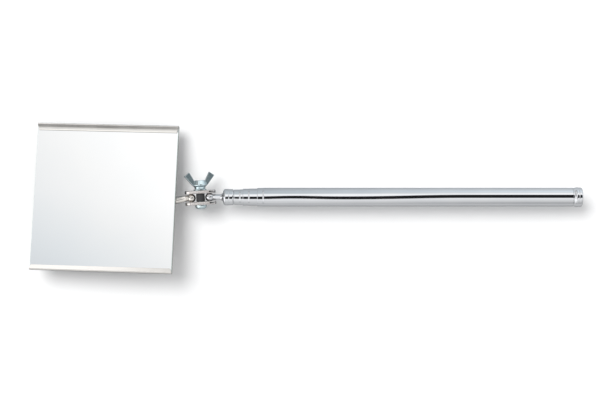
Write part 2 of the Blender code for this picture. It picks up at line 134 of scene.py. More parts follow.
# Mirror head, in its own frame: origin at the middle of the lips' front plane.
HEAD_ROTATION = Euler((math.radians(-8.7), math.radians(-4.6), math.radians(-1.55)))
BALL_IN_HEAD = Vector((60.58, 1.99, -6.4))
HEAD_WIDTH = 100.0
HEAD_HEIGHT = 104.0
HEAD_DEPTH = 4.45
SHEET = 0.5
LIP_SLOPE = 14.0
LIP_LENGTH = 2.8
HEM_LENGTH = 1.5
HEM_RISE = 0.22
HEM_FOLD_AT = 0.92  # share of the lip's length
LIP_MITRE = 1.3
LIP_MITRE_DEPTHS = (-1.3, 0.7)
MIRROR_SIZE = (99.6, 101.6, 1.85)
MIRROR_FRONT = -1.35
STEM_RADIUS = 2.5
STEM_TIP_RADIUS = 2.1
STEM_START = 8.0
STEM_BEND = 46.5
STEM_STRAIGHT = 3.3
BRACKET_SHEET = 0.8
BRACKET_ENDS = (6.0, 46.0)
BRACKET_HALF_WIDTH = 11.0
RIVETS = [(x, y) for x in (12.0, 40.0) for y in (-7.5, 7.5)]
RIVET_HOLE_RADIUS = 1.3

# Camera and studio.
CAMERA_AT = (-0.1968, -0.002, 1.1865)
LENS = 102.0
SENSOR = 36.0
CAMERA_PULL = (-0.5, 2.95)  # sideways and back, for each metre the rod is drawn out
AMBIENT = 0.69
KEY_STRENGTH = 2.15
KEY_ANGLE = math.radians(34)
KEY_DIRECTION = Vector((0.45, -0.4, -1.0))
SKY_TINT = (0.92, 1.0, 1.05)
FLOOR_SIZE = 8.0
FLOOR_DROP = 0.0002
CORNER_DROP = 0.002

# The dark gap overhead: where it stops towards -X, and degrees about X at its two ends.
GAP_END = -0.047
GAP_END_BLUR = 0.002
GAP_CENTRES = (-9.5, 10.0)
GAP_HALF_WIDTHS = (16.5, 19.5)
GAP_BLUR = 2.5
GAP_WAVER = 10.0

# The pale field that the mirror glass sees: its place, and its brightness there and beside it.
FIELD_ANGLE = 18
FIELD_AT = (-0.26, 0.3)
FIELD_BASE = 0.99
FIELD_SLOPE_X = 2.2
FIELD_SLOPES_Y = (3.6, 1.8)
FIELD_RANGE = (0.7, 1.2)


# ---------------------------------------------------------------- places


def joint(name):
    return next(j for j in frame["joints"] if j["name"] == name)


def frame_at(origin, x_axis, y_axis):
    """The matrix of a frame with this origin and these first two axes."""
    z_axis = x_axis.cross(y_axis)
    turn = Matrix((x_axis, y_axis, z_axis)).transposed().to_4x4()
    return Matrix.Translation(origin) @ turn


TIP_BALL = Vector(joint("clamp_swing")["pos_m"])
MIRROR_BALL = Vector(joint("mirror_swing")["pos_m"])
BOLT_LINE = Vector(joint("clamp_swing")["axis"]).normalized()
CLAMP_LINE = (TIP_BALL - MIRROR_BALL).normalized()
BALL_SPACING = (TIP_BALL - MIRROR_BALL).length / MM
BALL_RADIUS = (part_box("tip_ball")[1].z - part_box("tip_ball")[0].z) / 2 / MM

ROD = Matrix.Rotation(math.pi / 2, 4, "Y")
CLAMP = frame_at((TIP_BALL + MIRROR_BALL) / 2, CLAMP_LINE, BOLT_LINE)
ALONG_BOLT = CLAMP @ Matrix.Rotation(-math.pi / 2, 4, "X")
HEAD_TURN = HEAD_ROTATION.to_matrix()
HEAD = Matrix.Translation(MIRROR_BALL - HEAD_TURN @ BALL_IN_HEAD * MM) @ HEAD_TURN.to_4x4()
BACK_OF_FRAME = -HEAD_DEPTH
STEM_LINE = BACK_OF_FRAME - GAP - STEM_RADIUS


# ---------------------------------------------------------------- mesh tools


def piece(name, mesh, body, node, smooth_angle=35):
    """A finished mesh, already in the row frame, that stands for a CAD node and rides on a body."""
    obj = bpy.data.objects.new(name, mesh)
    bpy.context.scene.collection.objects.link(obj)
    shade(obj, smooth_angle)
    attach(obj, body)
    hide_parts(node)
    return obj


def shade(obj, angle):
    """Smooth shading that breaks at edges sharper than the angle and keeps flat faces flat."""
    obj.data.shade_smooth()
    obj.data.set_sharp_from_angle(angle=math.radians(angle))
    normals = obj.modifiers.new("flat_faces_stay_flat", "WEIGHTED_NORMAL")
    normals.keep_sharp = True
    normals.weight = 100


def to_mesh(bm, name, place):
    """The bmesh, drawn in millimetres, as a mesh in the row frame."""
    bmesh.ops.recalc_face_normals(bm, faces=bm.faces)
    bm.transform(place @ Matrix.Scale(MM, 4))
    mesh = bpy.data.meshes.new(name)
    bm.to_mesh(mesh)
    bm.free()
    return mesh


def rounded(corners, closed=False):
    """An outline whose corners (x, y, fillet) are rounded by short curves that touch both sides."""
    points = []
    count = len(corners)
    for i, (x, y, fillet) in enumerate(corners):
        here = Vector((x, y))
        if fillet == 0 or (not closed and i in (0, count - 1)):
            points.append(here)
            continue
        before = Vector(corners[i - 1][:2]) - here
        after = Vector(corners[(i + 1) % count][:2]) - here
        start = here + before * min(0.48, fillet / before.length)
        end = here + after * min(0.48, fillet / after.length)
        for k in range(FILLET_STEPS + 1):
            t = k / FILLET_STEPS
            points.append(start * (1 - t) ** 2 + here * 2 * t * (1 - t) + end * t**2)
    return points


def arc(centre, radius, start, end, steps):
    """Points round a centre, between two angles in degrees."""
    points = []
    for i in range(steps + 1):
        angle = math.radians(start + (end - start) * i / steps)
        points.append(Vector((centre[0] + radius * math.cos(angle), centre[1] + radius * math.sin(angle))))
    return points


def lathe_bmesh(profile, steps, ring, thread=None):
    """Points of (radius, height) turned about Z. A thread turns a radius into one with ridges."""
    bm = bmesh.new()
    rows = []
    for radius, height in profile:
        if radius < NO_RADIUS:
            rows.append([bm.verts.new((0, 0, height))] * steps)
            continue
        row = []
        for i in range(steps):
            angle = 2 * math.pi * i / steps
            reach = radius if thread is None else thread(radius, height, angle)
            row.append(bm.verts.new((reach * math.cos(angle), reach * math.sin(angle), height)))
        rows.append(row)
    following = rows[1:] + rows[:1] if ring else rows[1:]
    for low, high in zip(rows, following):
        for i in range(steps):
            j = (i + 1) % steps
            unique = list(dict.fromkeys((low[i], low[j], high[j], high[i])))
            if len(unique) > 2:
                bm.faces.new(unique)
    return bm


def lathe(name, corners, place, steps=STEPS, ring=False):
    """Rounded corners of (radius, height, fillet) turned about Z, as a mesh."""
    profile = [(p.x, p.y) for p in rounded(corners, closed=ring)]
    return to_mesh(lathe_bmesh(profile, steps, ring), name, place)


def boolean(mesh, tool, operation="DIFFERENCE", extras=()):
    """The mesh joined with or cut by a tool mesh, and any further modifiers, applied."""
    obj = bpy.data.objects.new("work", mesh)
    other = bpy.data.objects.new("tool", tool)
    for each in (obj, other):
        bpy.context.scene.collection.objects.link(each)
    modifier = obj.modifiers.new("cut", "BOOLEAN")
    modifier.operation = operation
    modifier.object = other
    for kind, settings in extras:
        extra = obj.modifiers.new(kind.lower(), kind)
        for key, value in settings.items():
            setattr(extra, key, value)
    graph = bpy.context.evaluated_depsgraph_get()
    made = bpy.data.meshes.new_from_object(obj.evaluated_get(graph))
    made.name = mesh.name
    for each in (obj, other):
        bpy.data.objects.remove(each)
    return made


def prism(name, outline, low, high, place, bevel=0.0, segments=4):
    """A flat outline in XY pulled from one height to another, with its rim edges bevelled."""
    bm = bmesh.new()
    face = bm.faces.new([bm.verts.new((p[0], p[1], low)) for p in outline])
    pulled = bmesh.ops.extrude_face_region(bm, geom=[face])["geom"]
    moved = [e for e in pulled if isinstance(e, bmesh.types.BMVert)]
    bmesh.ops.translate(bm, verts=moved, vec=(0, 0, high - low))
    if bevel:
        rims = [e for e in bm.edges if abs(e.verts[0].co.z - e.verts[1].co.z) < 1e-6]
        bmesh.ops.bevel(bm, geom=rims, offset=bevel, segments=segments, profile=0.5, affect="EDGES")
    return to_mesh(bm, name, place)


def spheres(name, centres, radius, place):
    bm = bmesh.new()
    for centre in centres:
        at = Matrix.Translation(Vector(centre))
        bmesh.ops.create_uvsphere(bm, u_segments=64, v_segments=32, radius=radius, matrix=at)
    return to_mesh(bm, name, place)


# ---------------------------------------------------------------- node tools


def add_node(tree, kind, inputs=None, **settings):
    """A shader node with its settings, and its inputs set or linked."""
    made = tree.nodes.new("ShaderNode" + kind)
    for key, value in settings.items():
        setattr(made, key, value)
    for key, value in (inputs or {}).items():
        if isinstance(value, bpy.types.NodeSocket):
            tree.links.new(value, made.inputs[key])
        else:
            made.inputs[key].default_value = value
    return made


def math_node(tree, operation, *values, clamp=False):
    node = add_node(tree, "Math", operation=operation, use_clamp=clamp)
    for i, value in enumerate(values):
        if isinstance(value, bpy.types.NodeSocket):
            tree.links.new(value, node.inputs[i])
        else:
            node.inputs[i].default_value = value
    return node.outputs[0]


def ramp_node(tree, factor, stops):
    """A colour ramp from (position, grey or colour) stops."""
    node = add_node(tree, "ValToRGB", {"Fac": factor})
    ramp = node.color_ramp
    ramp.elements.remove(ramp.elements[1])
    for index, (position, colour) in enumerate(stops):
        element = ramp.elements[0] if index == 0 else ramp.elements.new(position)
        element.position = position
        rgb = (colour,) * 3 if isinstance(colour, (int, float)) else colour
        element.color = (*rgb, 1.0)
    return node.outputs["Color"]


def new_material(name):
    material = bpy.data.materials.new(name)
    material.use_nodes = True
    return material, material.node_tree, material.node_tree.nodes["Principled BSDF"]


def noise(tree, vector, scale, detail=4.0, roughness=0.55):
    inputs = {"Vector": vector, "Scale": scale, "Detail": detail, "Roughness": roughness}
    return add_node(tree, "TexNoise", inputs).outputs["Fac"]


def between(tree, factor, low, high):
    """A factor of 0 to 1 spread between two values."""
    inputs = {"Value": factor, "From Min": 0.3, "From Max": 0.7, "To Min": low, "To Max": high}
    return add_node(tree, "MapRange", inputs).outputs["Result"]


def mix_colour(tree, factor, first, second, blend="MIX"):
    node = add_node(tree, "Mix", data_type="RGBA", blend_type=blend)
    for index, value in ((0, factor), (6, first), (7, second)):
        if isinstance(value, bpy.types.NodeSocket):
            tree.links.new(value, node.inputs[index])
        else:
            node.inputs[index].default_value = value if index == 0 else (*value, 1.0)
    return node.outputs[2]


def rest_coordinates(tree, place, stretch=(1, 1, 1)):
    """Object coordinates turned into a piece's own frame, so that its grain runs along it."""
    coordinates = add_node(tree, "TexCoord").outputs["Object"]
    turn = place.to_3x3().transposed().to_euler()
    turned = add_node(tree, "Mapping", {"Vector": coordinates, "Rotation": turn})
    return add_node(tree, "Mapping", {"Vector": turned.outputs[0], "Scale": stretch}).outputs[0]


def metal(name, colour, shade_colour, roughness, place, grain, depth, patches=60, edge=0.0):
    """A plated or brushed metal: grain stretched by `grain`, patches of tone, worn bright edges.

    Roughness is a (low, high) pair, depth is the grain's height in micrometres.
    """
    material, tree, shader = new_material(name)
    stretched = rest_coordinates(tree, place, grain)
    plain = rest_coordinates(tree, place)
    fine = noise(tree, stretched, 900, 6)
    cloud = noise(tree, plain, patches, 3)
    tone = mix_colour(tree, between(tree, cloud, 0, 1), shade_colour, colour)
    if edge:
        bevel = add_node(tree, "Bevel", {"Radius": 0.0004}, samples=4).outputs[0]
        normal = add_node(tree, "NewGeometry").outputs["Normal"]
        dot = add_node(tree, "VectorMath", {0: bevel, 1: normal}, operation="DOT_PRODUCT")
        worn = math_node(tree, "SUBTRACT", 1.0, dot.outputs["Value"])
        worn = math_node(tree, "MULTIPLY", worn, edge, clamp=True)
        tone = mix_colour(tree, worn, tone, (0.92, 0.9, 0.87))
    half_fine = math_node(tree, "MULTIPLY", fine, 0.5)
    mixed = math_node(tree, "ADD", half_fine, math_node(tree, "MULTIPLY", cloud, 0.5))
    bump = add_node(tree, "Bump", {"Height": fine, "Distance": depth * 1e-6, "Strength": 1.0})
    tree.links.new(tone, shader.inputs["Base Color"])
    tree.links.new(between(tree, mixed, *roughness), shader.inputs["Roughness"])
    tree.links.new(bump.outputs[0], shader.inputs["Normal"])
    shader.inputs["Metallic"].default_value = 1.0
    shader.inputs["Specular Tint"].default_value = (0.55, 0.55, 0.55, 1.0)
    return material


def dielectric(name, colour, shade_colour, roughness, scale, depth):
    """Rubber, foam or paint: a two-tone noise with matching bumps."""
    material, tree, shader = new_material(name)
    coordinates = add_node(tree, "TexCoord").outputs["Object"]
    fine = noise(tree, coordinates, scale, 8, 0.7)
    bump = add_node(tree, "Bump", {"Height": fine, "Distance": depth * 1e-6, "Strength": 1.0})
    tone = mix_colour(tree, between(tree, fine, 0, 1), shade_colour, colour)
    tree.links.new(tone, shader.inputs["Base Color"])
    tree.links.new(between(tree, fine, roughness - 0.08, roughness + 0.08), shader.inputs["Roughness"])
    tree.links.new(bump.outputs[0], shader.inputs["Normal"])
    return material


def mirror_material():
    """Silvering seen through clean glass, with the faintest haze of handling."""
    material, tree, shader = new_material("silvered_glass")
    haze = noise(tree, rest_coordinates(tree, HEAD), 35, 5)
    tone = mix_colour(tree, between(tree, haze, 0, 1), (0.925, 0.935, 0.94), (0.94, 0.945, 0.945))
    tree.links.new(tone, shader.inputs["Base Color"])
    tree.links.new(between(tree, haze, 0.0, 0.012), shader.inputs["Roughness"])
    shader.inputs["Metallic"].default_value = 1.0
    return material


def glass_edge_material():
    """The ground edge of the glass: pale green-grey, satin, with fine grinding marks."""
    material, tree, shader = new_material("ground_glass_edge")
    marks = noise(tree, rest_coordinates(tree, HEAD, (0.3, 0.3, 3)), 2500, 4)
    tone = mix_colour(tree, between(tree, marks, 0, 1), (0.42, 0.5, 0.48), (0.72, 0.78, 0.76))
    bump = add_node(tree, "Bump", {"Height": marks, "Distance": 0.00001, "Strength": 0.6})
    tree.links.new(tone, shader.inputs["Base Color"])
    tree.links.new(bump.outputs[0], shader.inputs["Normal"])
    shader.inputs["Roughness"].default_value = 0.32
    shader.inputs["Coat Weight"].default_value = 0.4
    return material


def wear(obj, slot_name, *materials):
    """Puts the materials on the piece. Its slot_name is not used."""
    obj.data.materials.clear()
    for material in materials:
        obj.data.materials.append(material)


CHROME_TONES = ((0.66, 0.672, 0.69), (0.625, 0.64, 0.665))
NICKEL_TONES = ((0.74, 0.715, 0.68), (0.68, 0.645, 0.605))
PLATE_TONES = ((0.7, 0.67, 0.658), (0.62, 0.588, 0.575))
ZINC_TONES = ((0.64, 0.74, 0.76), (0.54, 0.65, 0.69))
STEEL_TONES = ((0.82, 0.8, 0.77), (0.76, 0.74, 0.71))
ALONG = (1, 1, 0.02)  # grain drawn out along a lathe's axis
AROUND = (0.2, 0.2, 3)  # grain left by turning
PLAIN = (1, 1, 1)
CHROMED = (*CHROME_TONES, (0.015, 0.06), ROD, ALONG)
TURNED = (*CHROME_TONES, (0.012, 0.045), ROD, AROUND)
DRAWN = (*NICKEL_TONES, (0.06, 0.14), HEAD, (0.05, 1, 1))
PRESSED = (*PLATE_TONES, (0.08, 0.18), CLAMP, (0.4, 1, 1))
PASSIVATED = (*ZINC_TONES, (0.1, 0.22), CLAMP, PLAIN)
BRUSHED = (*STEEL_TONES, (0.09, 0.16), HEAD, (0.01, 1, 1))
HAMMERED = (*STEEL_TONES, (0.18, 0.35), HEAD, PLAIN)
SPRUNG = ((0.76, 0.58, 0.3), (0.55, 0.4, 0.18), (0.2, 0.4), ROD, AROUND)

LOOKS = {
    "chrome": metal("chrome_tube", *CHROMED, 0.35),
    "chrome_turned": metal("chrome_turned", *TURNED, 0.2),
    "nickel_stem": metal("nickel_stem", *DRAWN, 0.8, edge=1.0),
    "nickel_plate": metal("nickel_plate", *PRESSED, 1.5, 250, edge=2.0),
    "zinc": metal("zinc_passivate", *PASSIVATED, 1.5, 120, edge=2.0),
    "steel": metal("brushed_stainless", *BRUSHED, 0.8),
    "rivet": metal("rivet_steel", *HAMMERED, 4.0, 400, edge=1.5),
    "brass": metal("spring_brass", *SPRUNG, 3.0),
    "rubber": dielectric("black_rubber", (0.05, 0.05, 0.052), (0.025, 0.025, 0.026), 0.6, 1800, 12),
    "foam": dielectric("adhesive_foam", (0.62, 0.61, 0.58), (0.45, 0.44, 0.42), 0.9, 1500, 40),
    "back_paint": dielectric("mirror_back_paint", (0.2, 0.21, 0.22), (0.14, 0.15, 0.16), 0.5, 600, 6),
    "mirror": mirror_material(),
    "glass_edge": glass_edge_material(),
}


# ---------------------------------------------------------------- the rod


def span(node):
    """A tube's rear and mouth positions and its radius, in millimetres."""
    low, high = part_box(node)
    return high.x / MM, low.x / MM, high.z / MM


def tube_corners(node, inner=None):
    """A tube's section: rear end, outside, rolled mouth and bore."""
    rear, mouth, radius = span(node)
    seat = radius - SEAT_SINK
    if node == "outer_tube":
        outside = [(radius, rear, 0.1)]
        inside = [(radius - WALL, rear, 0.1)]
    else:
        outside = [
            (radius - 0.1, rear, 0.1),
            (radius - 0.1, rear - 0.75, 0.1),
            (seat, rear - 0.85, 0.1),
            (seat, rear - SEAT_LENGTH, 0.2),
            (radius, rear - SEAT_LENGTH - 0.4, 0.2),
        ]
        inside = [
            (radius - WALL, rear - SEAT_LENGTH - 0.4, 0.2),
            (seat - WALL, rear - SEAT_LENGTH, 0.2),
            (seat - WALL, rear, 0.1),
        ]
    if inner is None:
        return outside + [(radius, mouth, 0.1), (radius - WALL, mouth, 0.1)] + inside
    bore = span(inner)[2] + MOUTH_CLEARANCE
    sunk = radius - MOUTH_SINK
    lip = [
        (radius, mouth + MOUTH_LENGTH + 0.45, 0.3),
        (sunk, mouth + MOUTH_LENGTH, 0.3),
        (sunk, mouth + 0.05, 0.3),
        (bore + 0.05, mouth, 0.05),
        (bore, mouth + 0.1, 0.05),
        (bore, mouth + MOUTH_LENGTH, 0.2),
        (radius - WALL, mouth + MOUTH_LENGTH + 0.45, 0.2),
    ]
    return outside + lip + inside


def make_rod():
    chain = (
        ("outer_tube", "tube_1", "handle", "outer_tube_chrome"),
        ("tube_1", "tube_2", "stage_1", "inner_tube_chrome"),
        ("tube_2", "tube_3", "stage_2", "inner_tube_chrome"),
        ("tube_3", None, "rod", "inner_tube_chrome"),
    )
    for node, inner, body, slot_name in chain:
        mesh = lathe(node + "_shell", tube_corners(node, inner), ROD, ring=True)
        wear(piece(node + "_shell", mesh, body, node, smooth_angle=50), slot_name, LOOKS["chrome"])
    for index in (1, 2, 3):
        node = frame["nodes"][f"friction_sleeve_{index}"]
        edges = node.modifiers.new("edges", "BEVEL")
        edges.width = SLEEVE_EDGE * MM
        edges.segments = 2
        wear(node, "sleeve_brass", LOOKS["brass"])
        shade(node, 30)


def make_end_cap():
    """The pressed cap: a rounded rim, a thin groove, a round waist at the tube, a cupped inside."""
    low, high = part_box("end_cap")
    radius = high.z / MM
    spigot = span("outer_tube")[2] - WALL - GAP
    front = low.x / MM
    corners = [
        (0, -0.25, 0),
        (radius - 2.5, -0.25, 0.3),
        (radius - 2.1, 0, 0.2),
        (radius - 1.0, 0, 0.5),
        (radius - 0.2, -0.5, 0.6),
        (radius - 0.1, -2.2, 0.5),
        (radius - 0.22, -2.65, 0.3),
        (radius, -3.1, 0.3),
        (radius - 0.02, -4.5, 0.8),
        (radius - 0.58, -5.9, 0.7),
        (radius - 0.42, CAP_SHOULDER, 0.1),
        (spigot, CAP_SHOULDER, 0.05),
        (spigot, front, 0.3),
        (spigot - 0.9, front, 0.1),
        (spigot - 0.9, -2.2, 0.5),
        (0, -2.2, 0),
    ]
    mesh = lathe("butt_cap", corners, ROD)
    wear(piece("butt_cap", mesh, "handle", "end_cap"), "end_cap_chrome", LOOKS["chrome_turned"])


def make_tip():
    low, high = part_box("tip_collar")
    radius = high.z / MM
    rear = high.x / MM
    collar_rear = rear - SPIGOT_LENGTH
    collar_front = collar_rear - COLLAR_LENGTH
    ball_at = TIP_BALL.x / MM
    spigot = span("tube_3")[2] - WALL - GAP
    corners = [
        (0, rear, 0),
        (spigot, rear, 0.3),
        (spigot, collar_rear, 0.05),
        (radius - 0.45, collar_rear, 0.1),
        (radius - 0.12, collar_rear - 0.45, 0.15),
        (radius - 0.12, collar_rear - 2.9, 0.2),
        (radius - 0.22, collar_rear - 3.1, 0.15),
        (radius, collar_rear - 3.4, 0.2),
    ]
    profile = rounded(corners)
    profile.append(Vector((radius, collar_front + SHOULDER_EDGE + 0.1)))
    profile += arc((radius - SHOULDER_EDGE, collar_front + SHOULDER_EDGE), SHOULDER_EDGE, 0, -80, 8)
    root = NECK_RADIUS + FLARE_RADIUS
    profile.append(Vector((root - 0.1, collar_front + 0.12)))
    profile += arc((root, collar_front - FLARE_RADIUS - GAP), FLARE_RADIUS, 90, 180, 16)
    profile += [Vector((NECK_RADIUS, ball_at + NECK_IN_BALL)), Vector((0, ball_at + NECK_IN_BALL))]
    bm = lathe_bmesh([(p.x, p.y) for p in profile], SMALL_STEPS, False)
    mesh = to_mesh(bm, "tip_turned", ROD)
    wear(piece("tip_turned", mesh, "rod", "tip_collar"), "tip_chrome", LOOKS["chrome_turned"])
    for name, centre, body, look, slot_name in (
        ("tip_ball", TIP_BALL, "ball_at_tip", "chrome_turned", "tip_chrome"),
        ("mirror_ball", MIRROR_BALL, "ball_at_mirror", "nickel_stem", "stem_nickel"),
    ):
        mesh = spheres(name + "_round", [(0, 0, 0)], BALL_RADIUS, Matrix.Translation(centre))
        wear(piece(name + "_round", mesh, body, name, smooth_angle=80), slot_name, LOOKS[look])


# ---------------------------------------------------------------- the clamp


def make_plates():
    """Thick stadium plates with rounded rims, ball sockets and a bolt hole."""
    half = BALL_SPACING / 2
    outline = arc((half, 0), PLATE_WIDTH / 2, -90, 90, 32)
    outline += arc((-half, 0), PLATE_WIDTH / 2, 90, 270, 32)
    plate_of = (
        ("clamp_plate_lower", -1, "clamp"),
        ("clamp_plate_upper", 1, "pressure_side"),
    )
    for node, side, body in plate_of:
        near, far = sorted((side * PLATE_GAP / 2, side * PLATE_OUTSIDE))
        mesh = prism(node + "_pressed", outline, near, far, ALONG_BOLT, bevel=0.65)
        sockets = spheres("sockets", [(-half, 0, 0), (half, 0, 0)], SOCKET_RADIUS, ALONG_BOLT)
        mesh = boolean(mesh, sockets)
        hole = [(0, 12, 0), (HOLE_RADIUS, 12, 0), (HOLE_RADIUS, -12, 0), (0, -12, 0)]
        mesh = boolean(mesh, lathe("hole", hole, ALONG_BOLT, 64))
        wear(piece(node + "_pressed", mesh, body, node), "clamp_nickel", LOOKS["nickel_plate"])


def thread_ridges(crest, high, low):
    """A radius function whose ridges wind once round per pitch between two heights."""

    def reach(radius, height, angle):
        if radius < crest - 0.01 or not low < height < high:
            return radius
        phase = height / THREAD_PITCH - angle / (2 * math.pi)
        ridge = abs((phase % 1.0) * 2 - 1)
        fade = min(1.0, (height - low) / THREAD_PITCH, (high - height) / THREAD_PITCH)
        return radius - THREAD_DEPTH * fade * ridge

    return reach


def stacked(corners, low, high, radius, rows_per_pitch=10):
    """The outline with a straight stretch at a radius divided finely enough to carry a thread."""
    points = [(p.x, p.y) for p in rounded(corners)]
    count = int((high - low) / THREAD_PITCH * rows_per_pitch)
    fine = [(radius, high - (high - low) * i / count) for i in range(count + 1)]
    above = [p for p in points if p[1] > high]
    below = [p for p in points if p[1] < low]
    return above + fine + below


def make_bolt():
    """A round-headed machine screw with a winding thread and a cross recess in its head."""
    head = -PLATE_OUTSIDE - GAP
    corners = [
        (0, BOLT_END, 0),
        (BOLT_RADIUS - 0.4, BOLT_END, 0.2),
        (BOLT_RADIUS, BOLT_END - 0.4, 0),
        (BOLT_RADIUS, head, 0.1),
        (BOLT_HEAD_RADIUS, head, 0.15),
        (BOLT_HEAD_RADIUS, head - 0.8, 0.4),
        (BOLT_HEAD_RADIUS - 0.5, head - 2.0, 1.0),
        (BOLT_HEAD_RADIUS - 2.1, head - 2.8, 1.2),
        (0, head - BOLT_HEAD_HEIGHT, 0),
    ]
    low, high = BOLT_THREAD
    profile = stacked(corners, low, high, BOLT_RADIUS)
    bm = lathe_bmesh(profile, 64, False, thread_ridges(BOLT_RADIUS, high, low))
    mesh = to_mesh(bm, "bolt", ALONG_BOLT)
    cross = []
    half = RECESS_HALF_WIDTH
    arm = [(RECESS_ARM, -half), (RECESS_ARM, half), (half, half)]
    for _ in range(4):
        cross += arm
        arm = [(-y, x) for x, y in arm]
    at = ALONG_BOLT @ Matrix.Translation((0, 0, (head - BOLT_HEAD_HEIGHT) * MM))
    mesh = boolean(mesh, prism("recess", cross, -1.0, 1.1, at))
    wear(piece("bolt", mesh, "clamp", "clamp_bolt"), "bolt_zinc", LOOKS["zinc"])


def make_washer_and_spacer():
    foot = PLATE_OUTSIDE + GAP
    washer = [
        (4.5, foot + 0.7, 0.18),
        (4.5, foot, 0.18),
        (HOLE_RADIUS, foot, 0.1),
        (HOLE_RADIUS, foot + 0.7, 0.1),
    ]
    mesh = lathe("flat_washer", washer, ALONG_BOLT, SMALL_STEPS, ring=True)
    wear(piece("flat_washer", mesh, "pressure_side", "washer"), "washer_zinc", LOOKS["zinc"])
    spacer = [
        (2.85, 2.7, 0.15),
        (3.0, 2.1, 0.5),
        (3.0, -2.1, 0.5),
        (2.85, -2.7, 0.15),
        (HOLE_RADIUS, -2.7, 0.1),
        (HOLE_RADIUS, 2.7, 0.1),
    ]
    mesh = lathe("rubber_spacer", spacer, ALONG_BOLT, SMALL_STEPS, ring=True)
    wear(piece("rubber_spacer", mesh, "clamp", "plate_spacer"), "spacer_rubber", LOOKS["rubber"])


def wing_mesh(place):
    """Two flat wings that lean out and widen from foot to top."""
    bm = bmesh.new()
    for side in (-1, 1):
        made = bmesh.ops.create_cube(bm, size=1)["verts"]
        for vert in made:
            width = WING_TOP_WIDTH if vert.co.y > 0 else WING_FOOT_WIDTH
            vert.co = (vert.co.x * width, (vert.co.y + 0.5) * WING_LENGTH, vert.co.z * WING_THICKNESS)
        lean = Matrix.Rotation(-side * WING_LEAN, 4, "Z")
        foot = Matrix.Translation((side * WING_FOOT[0], WING_FOOT[1], 0))
        bmesh.ops.transform(bm, matrix=foot @ lean, verts=made)
    return to_mesh(bm, "wings", place)


def make_wing_nut():
    """Hub and wings as one cold-formed body: joined, softened all over, then bored and threaded."""
    hub = [
        (0, 12.1, 0),
        (4.0, 12.1, 0.35),
        (4.95, 9.0, 0.5),
        (5.0, 8.3, 0.4),
        (3.9, 7.5, 0.4),
        (3.7, 6.0, 0.2),
        (0, 6.0, 0),
    ]
    turned = CLAMP @ Matrix.Rotation(NUT_TURN, 4, "Y")
    axis = turned @ Matrix.Rotation(-math.pi / 2, 4, "X")
    soften = (
        ("REMESH", {"mode": "VOXEL", "voxel_size": 0.00013, "use_smooth_shade": True}),
        ("SMOOTH", {"factor": 0.5, "iterations": 5}),
        ("DECIMATE", {"ratio": 0.35}),
    )
    mesh = boolean(lathe("hub", hub, axis, SMALL_STEPS), wing_mesh(turned), "UNION", soften)
    bore = NUT_BORE + THREAD_DEPTH * 0.8
    count = int(10 / THREAD_PITCH * 8)
    profile = [(0, 14)] + [(bore, 14 - 10 * i / count) for i in range(count + 1)] + [(0, 4)]
    low, high = NUT_THREAD
    cutter = lathe_bmesh(profile, 48, False, thread_ridges(bore, high, low))
    mesh = boolean(mesh, to_mesh(cutter, "bore", axis))
    wear(piece("wing_nut_formed", mesh, "nut", "wing_nut"), "nut_zinc", LOOKS["zinc"])


# ---------------------------------------------------------------- the head


def folded_sheet(name, half_profile, ends, thickness, hem=0.0):
    """A folded sheet in the head's frame, closed, with softened cut edges and a hem at its +Y end."""
    bm = bmesh.new()
    outline = [(-p[0], p[1]) for p in reversed(half_profile[1:])] + [tuple(p) for p in half_profile]
    if hem:
        (start_y, start_z), (end_y, end_z) = outline[-2:]
        fold = (start_y + (end_y - start_y) * HEM_FOLD_AT, start_z + (end_z - start_z) * HEM_FOLD_AT)
        outline[-1:] = [fold, (end_y - hem, fold[1] + HEM_RISE)]
    rows = [[bm.verts.new((x, y, z)) for y, z in outline] for x in ends]
    for i in range(len(outline) - 1):
        bm.faces.new((rows[0][i], rows[1][i], rows[1][i + 1], rows[0][i + 1]))
    mesh = to_mesh(bm, name, HEAD)
    obj = bpy.data.objects.new("sheet", mesh)
    bpy.context.scene.collection.objects.link(obj)
    solidify = obj.modifiers.new("thickness", "SOLIDIFY")
    solidify.thickness = thickness * MM
    solidify.offset = 0
    solidify.use_even_offset = True
    edges = obj.modifiers.new("edges", "BEVEL")
    edges.width = thickness * 0.18 * MM
    edges.segments = 2
    edges.angle_limit = math.radians(50)
    graph = bpy.context.evaluated_depsgraph_get()
    made = bpy.data.meshes.new_from_object(obj.evaluated_get(graph))
    made.name = name
    bpy.data.objects.remove(obj)
    return made


def rivet_holes():
    bm = bmesh.new()
    for x, y in RIVETS:
        bmesh.ops.create_cone(
            bm,
            cap_ends=True,
            segments=48,
            radius1=RIVET_HOLE_RADIUS,
            radius2=RIVET_HOLE_RADIUS,
            depth=2 * HEAD_DEPTH,
            matrix=Matrix.Translation((x, y, -HEAD_DEPTH)),
        )
    return to_mesh(bm, "rivet_holes", HEAD)


def lip_mitres():
    """Wedges that cut the lips' inner corners back at both ends."""
    bm = bmesh.new()
    edge = HEAD_WIDTH / 2 + 0.1
    inner = HEAD_HEIGHT / 2 - LIP_LENGTH - 0.9
    low, high = LIP_MITRE_DEPTHS
    for side_x in (-1, 1):
        for side_y, start in ((-1, inner), (1, inner - HEM_LENGTH)):
            corners = [(edge, start), (edge - LIP_MITRE, start), (edge, HEAD_HEIGHT / 2 - 0.9)]
            face = bm.faces.new([bm.verts.new((side_x * x, side_y * y, low)) for x, y in corners])
            pulled = bmesh.ops.extrude_face_region(bm, geom=[face])["geom"]
            moved = [e for e in pulled if isinstance(e, bmesh.types.BMVert)]
            bmesh.ops.translate(bm, verts=moved, vec=(0, 0, high - low))
    return to_mesh(bm, "lip_mitres", HEAD)


